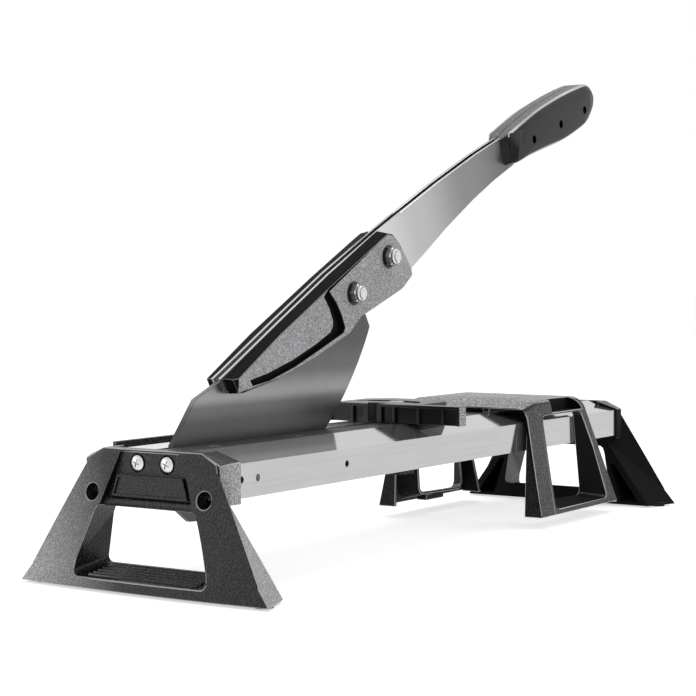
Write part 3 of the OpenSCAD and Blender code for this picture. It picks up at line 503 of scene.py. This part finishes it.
def closed_curve(points, steps):
    """A smooth closed line through the points (Catmull-Rom), with the same count in each span."""
    out = []
    n = len(points)
    for i in range(n):
        p0, p1, p2, p3 = (Vector(points[(i + k) % n]) for k in (-1, 0, 1, 2))
        for j in range(steps):
            t = j / steps
            out.append(0.5 * (2 * p1 + (p2 - p0) * t + (2 * p0 - 5 * p1 + 4 * p2 - p3) * t * t
                              + (3 * p1 - p0 - 3 * p2 + p3) * t ** 3))
    return out


def towards(points, centre, share):
    """The points, each moved by a share of its way to a centre."""
    return [Vector(p).lerp(Vector(centre), share) for p in points]


def loft(sections, place):
    """Skins a row of closed sections; place(section number, point) gives the vertex."""
    bm = bmesh.new()
    rings = []
    for i, section in enumerate(sections):
        rings.append([bm.verts.new(place(i, p)) for p in section])
    for a, b in zip(rings, rings[1:]):
        for j in range(len(a)):
            k = (j + 1) % len(a)
            bm.faces.new((a[j], a[k], b[k], b[j]))
    bm.faces.new(list(reversed(rings[0])))
    bm.faces.new(rings[-1])
    bmesh.ops.recalc_face_normals(bm, faces=bm.faces)
    return bm


def carve(obj, cutters):
    """Cuts other objects out of a piece and deletes them."""
    for c in cutters:
        m = obj.modifiers.new("cut", "BOOLEAN")
        m.operation = "DIFFERENCE"
        m.solver = "EXACT"
        m.object = c
    mesh = bpy.data.meshes.new_from_object(obj.evaluated_get(bpy.context.evaluated_depsgraph_get()))
    obj.modifiers.clear()
    obj.data = mesh
    mesh.shade_smooth()
    mesh.set_sharp_from_angle(angle=math.radians(SMOOTH_ANGLE))
    for c in cutters:
        bpy.data.objects.remove(c, do_unlink=True)


def rod(at, axis, radius, length):
    """A round cutter that starts at a point and runs along an axis."""
    axis = Vector(axis).normalized()
    bm = bmesh.new()
    turn = axis.to_track_quat("Z", "Y").to_matrix().to_4x4()
    bmesh.ops.create_cone(bm, cap_ends=True, segments=ROD_SIDES, radius1=radius,
                          radius2=radius, depth=length,
                          matrix=Matrix.Translation(Vector(at) + axis * length / 2) @ turn)
    mesh = bpy.data.meshes.new("cutter")
    bm.to_mesh(mesh)
    bm.free()
    obj = bpy.data.objects.new("cutter", mesh)
    scene.collection.objects.link(obj)
    return obj


# Grip halves: outlines at the parting line, round the flank and on the crowned face, in the
# lever's own frame, as millimetres along the lever from the hinge and across it
GRIP_HEART = [(473.5, 44.0), (486, 46.5), (505, 47.4), (540, 46.9), (585, 43.2), (622, 38.0),
              (634.5, 34.6), (640, 28.5), (640, 19.5), (634.5, 11.5), (620, 5.0), (600, 4.3),
              (567, 7.0), (530, 13.4), (500, 18.2), (474.5, 21.4), (471.2, 31)]
GRIP_SIDE = [(481, 45.8), (490, 47.1), (507, 47.3)] + GRIP_HEART[3:15] + [(477.5, 21.7), (478, 31)]
GRIP_FACE = [(495.8, 42.4), (501, 43.9), (511, 44.6), (538, 44.1), (575, 40.0), (612, 33.1),
             (628.5, 29.7), (634.6, 25.5), (634.6, 20), (629, 13.8), (615, 8.0), (600, 7.4),
             (567, 9.8), (530, 16.4), (502, 20.7), (481, 23.3), (485.5, 33)]
GRIP_MIDDLE = (560, 26)
GRIP_SCREWS = [(512.3, 29.3), (564.2, 23.2), (613.3, 18)]
SCREW_HOLE_R = 3.5
SCREW_HOLE_X = 8
# The crown between flank and face: share of the way, and millimetres from the middle plane
CROWN = ((0.25, 11.4), (0.55, 12.8), (0.8, 13.7), (0.93, 14.1))
# The upper flank, painted paler as lit from above: how far its faces look up, where its painted
# highlight begins and where it ends
TOP_LEAN = 0.4
HIGHLIGHT_X = 9.0
TOP_X = 11.2


def grip(node, side):
    """One half of the grip. Its upper flank is grained and painted paler as lit from above, with a
    painted highlight along the outer edge.
    """
    heart, flank, face = (closed_curve(outline, CURVE_STEPS)
                          for outline in (GRIP_HEART, GRIP_SIDE, GRIP_FACE))
    rows = [(0.25, towards(heart, GRIP_MIDDLE, 0.012)), (0.75, heart), (4.0, heart),
            (8.6, flank), (9.8, towards(flank, GRIP_MIDDLE, 0.004))]
    for t, x in CROWN:
        rows.append((x, [a.lerp(b, t) for a, b in zip(flank, face)]))
    rows += [(14.3, face), (14.6, towards(face, GRIP_MIDDLE, 0.12)),
             (14.85, towards(face, GRIP_MIDDLE, 0.4)), (14.95, towards(face, GRIP_MIDDLE, 0.8))]
    bm = loft([r[1] for r in rows],
              lambda i, p: LEVER @ Vector((side * rows[i][0] * MM, p[0] * MM, p[1] * MM)))
    back = LEVER.inverted()
    turn = back.to_3x3()
    for f in bm.faces:
        x, up = abs((back @ f.calc_center_median()).x) / MM, (turn @ f.normal).z
        on_top = up > TOP_LEAN and x < TOP_X
        f.material_index = (2 if x > HIGHLIGHT_X else 1) if on_top else 0
    obj = piece(node + "_shell", bm, node, [MATERIALS["grip_plastic"], GRIP_LIT_TOP, GRIP_HIGHLIGHT])
    carve(obj, [rod(LEVER @ Vector((side * SCREW_HOLE_X * MM, u * MM, v * MM)), (side, 0, 0),
                    SCREW_HOLE_R * MM, 0.02) for u, v in GRIP_SCREWS])


grip("near_grip", 1)
grip("far_grip", -1)

# Lock nuts on the near cover, in millimetres: their places along and across the lever, the
# width across flats, and the radius to which the corners are turned off
COVER_BOLTS = [(208, 29.5), (262, 34)]
NUT_AF = 13.0
NUT_CORNER = 7.6


def spun(bm, at, rows):
    """Turns a profile about the X axis at a point. A row is (x, radius or function of the turn,
    number of the material up to the next row)."""
    rings = []
    for x, radius, _ in rows:
        ring = []
        for i in range(TURN_SIDES):
            a = 2 * math.pi * i / TURN_SIDES
            r = radius(a) if callable(radius) else radius
            ring.append(bm.verts.new(at(x, r * math.cos(a), r * math.sin(a))))
        rings.append(ring)
    for a, b, (_, _, tone) in zip(rings, rings[1:], rows):
        for j in range(TURN_SIDES):
            k = (j + 1) % TURN_SIDES
            bm.faces.new((a[j], a[k], b[k], b[j])).material_index = tone
    bm.faces.new(list(reversed(rings[0])))
    bm.faces.new(rings[-1]).material_index = rows[-1][2]


def hexagon(most):
    """Radius of a hexagon with its corners turned off at a limit, in millimetres."""
    def radius(a):
        w = (a + math.pi / 6) % (math.pi / 3) - math.pi / 6
        return min(NUT_AF / 2 / math.cos(w), most)
    return radius


def lock_nuts():
    """Washer face, chamfered hexagon, domed collar and bore of both nuts, in one piece. The dark
    washer face and the hexagon's foot are a painted shadow, the crease below the collar and the
    bore painted shade, and the hexagon's sides a darker copy of the zinc as painted shade.
    """
    bm = bmesh.new()
    for u, v in COVER_BOLTS:
        def at(x, a, b):
            return LEVER @ Vector(((COVER_X + x) * MM, (u + a) * MM, (v + b) * MM))
        spun(bm, at, [(0.02, 8.8, 1), (0.35, 8.6, 1), (0.4, hexagon(6.6), 1),
                      (0.9, hexagon(NUT_CORNER), 2), (5.2, hexagon(NUT_CORNER), 0),
                      (5.9, hexagon(6.7), 2), (6.0, 5.9, 1), (6.3, 5.8, 2), (7.2, 5.7, 0),
                      (7.7, 5.3, 0), (7.95, 5.0, 0), (8.0, 4.7, 0), (7.8, 4.3, 1),
                      (7.0, 4.1, 1), (0.4, 4.1, 1)])
    bmesh.ops.recalc_face_normals(bm, faces=bm.faces)
    piece("lock_nuts", bm, "cover_nuts", [MATERIALS["zinc_screws"], DARK_METAL, SHADED_NUT_SIDE],
          smooth_angle=26)


lock_nuts()
piece("dark_washers", node_mesh("cover_washers"), "cover_washers", [DARK_METAL])


# Which faces of a node get one of its other materials. Places are in the rest position,
# as metres for heights and for y, and as millimetres from the middle plane for X
FENCE_END = 0.07
RECESS_Z = (0.088, 0.0992)
RECESS_FLOOR_Z = 0.091
RECESS_X = (49.5, 62.6)
RECESS_WALL_X = 51.0
SUPPORT_SIDE_X = 57.5
SUPPORT_TOP_Z = 0.08
FAR_REVEAL_Y = 0.165
REVEAL_TOP_Z = 0.085
PANEL_STEP_X = (24, 40)
PANEL_STEP_Z = 53
FOOT_SIDE_X = 45
PANEL_Z = (55 * MM, 88 * MM)
COVERS_END = 290 * MM
CHANNEL_DEPTH = 2
# Least share of a face's normal in a direction, for a face that leans that way, that stands
# sideways, that looks up, that is square to the direction, and that lies level
LEANS, SIDEWAYS, UPWARD, SQUARE, LEVEL = 0.5, 0.6, 0.8, 0.9, 0.95
SLIGHT = 0.1


def fence_grain(face):
    """The solid ends of the fence have the coarse grain of the mould's face."""
    return int(abs(face.normal.x) > SQUARE and abs(face.calc_center_median().x) > FENCE_END)


def support_grain(face):
    """The support is painted paler on its sides, 1, and palest on its top, 2, as painted light. Its
    recesses, its upward faces below the top and the windows' far reveals are black, 3, as painted
    shade."""
    at, n = face.calc_center_median(), face.normal
    x = abs(at.x) / MM
    sunk = RECESS_Z[0] < at.z < RECESS_Z[1] and RECESS_X[0] < x < RECESS_X[1]
    wall = n.z < LEVEL and (abs(n.x) < SLIGHT or x < RECESS_WALL_X)
    if sunk and (wall or n.z > LEVEL and at.z < RECESS_FLOOR_Z):
        return 3
    if n.z > UPWARD:
        return 2 if at.z > SUPPORT_TOP_Z else 3
    if n.y < -SIDEWAYS and at.y > FAR_REVEAL_Y and at.z < REVEAL_TOP_Z:
        return 3
    return int(n.x * at.x > 0 and abs(n.x) > SIDEWAYS and x > SUPPORT_SIDE_X and n.z > 0.0)


def outward(face, at):
    """How far a foot's face looks out of the cutter's end, from -1 to 1."""
    return face.normal.y if at.y > 0 else -face.normal.y


def foot_grain(face, outer):
    """Inner faces of a foot are smooth and black, 1, as painted shade, and so is the step beside
    the badge panel, which lies in shade. outer is the material of the sides: 2, a paler grain as
    painted light, on the front foot, and black as painted shade on the rear foot. Where it is 2,
    the end face turns paler towards the far leg, a painted sheen, 3."""
    at, n = face.calc_center_median(), face.normal
    x, z = abs(at.x) / MM, at.z / MM
    if outward(face, at) < -LEANS:
        return 1
    if outward(face, at) > LEANS and outer == 2:
        return 3
    if abs(n.x) > SIDEWAYS:
        if n.x * at.x < 0 and PANEL_STEP_X[0] < x < PANEL_STEP_X[1] and z > PANEL_STEP_Z:
            return 1
        if n.x * at.x > 0 and x > FOOT_SIDE_X and n.z > -LEANS:
            return outer
    return 0


def middle(edge):
    return (edge.verts[0].co + edge.verts[1].co) / 2


def stays_sharp(edge):
    """A foot's edges stay sharp at its inner faces, in its badge panel and at its screw holes."""
    at = middle(edge)
    in_panel = abs(at.x) < PANEL_STEP_X[1] * MM and PANEL_Z[0] < at.z < PANEL_Z[1]
    return in_panel or min(outward(f, at) for f in edge.link_faces) < -LEANS


def under_covers(edge):
    """The plates' edges between the blade covers lie in the shade and stay sharp."""
    return (LEVER.inverted() @ middle(edge)).y < COVERS_END


def cover_side(face):
    """The walls and the sunk channel of a cover are smooth and black, painted shade on a cover
    moulded in one plastic.
    """
    x = abs(face.calc_center_median().x) / MM
    return int(abs(face.normal.x) < SQUARE or x < COVER_X - CHANNEL_DEPTH)


# Nodes with rounded edges: the node, the width in millimetres, the material of the edges. The pale
# and dim edge materials and the bright metal edges are painted highlights
rounded("fence", 0.35, DIM_HIGHLIGHT_EDGE, [PALE_GRAIN], fence_grain)
rounded("support", 0.6, PALE_HIGHLIGHT_EDGE, [LIT_SIDE_GRAIN, LIT_TOP_GRAIN, PAINTED_SHADE], support_grain)
rounded("front_foot", 0.6, PALE_HIGHLIGHT_EDGE, [PAINTED_SHADE, LIT_GRAIN, SHEEN_GRAIN],
        lambda f: foot_grain(f, 2), stays_sharp)
rounded("rear_foot", 0.6, DIM_HIGHLIGHT_EDGE, [PAINTED_SHADE], lambda f: foot_grain(f, 1), stays_sharp)
for name in ("near_cover", "far_cover"):
    rounded(name, 0.4, GREY_EDGE, [PAINTED_SHADE], cover_side)
for name in ("near_lever_plate", "far_lever_plate"):
    rounded(name, 0.25, BRIGHT_EDGE, pick=lambda f: 0, spare=under_covers)
for name, width, edge in (("blade", 0.35, DARK_METAL), ("near_rail", 0.3, BRIGHT_EDGE),
                          ("far_rail", 0.3, BRIGHT_EDGE), ("near_table_strip", 0.2, PALE_HIGHLIGHT_EDGE),
                          ("counter_blade", 0.2, BRIGHT_EDGE), ("edge_rest", 0.3, PALE_HIGHLIGHT_EDGE),
                          ("front_foot_screws", 0.15, MATERIALS["zinc_screws"]),
                          ("rear_foot_screws", 0.15, MATERIALS["zinc_screws"])):
    rounded(name, width, edge)
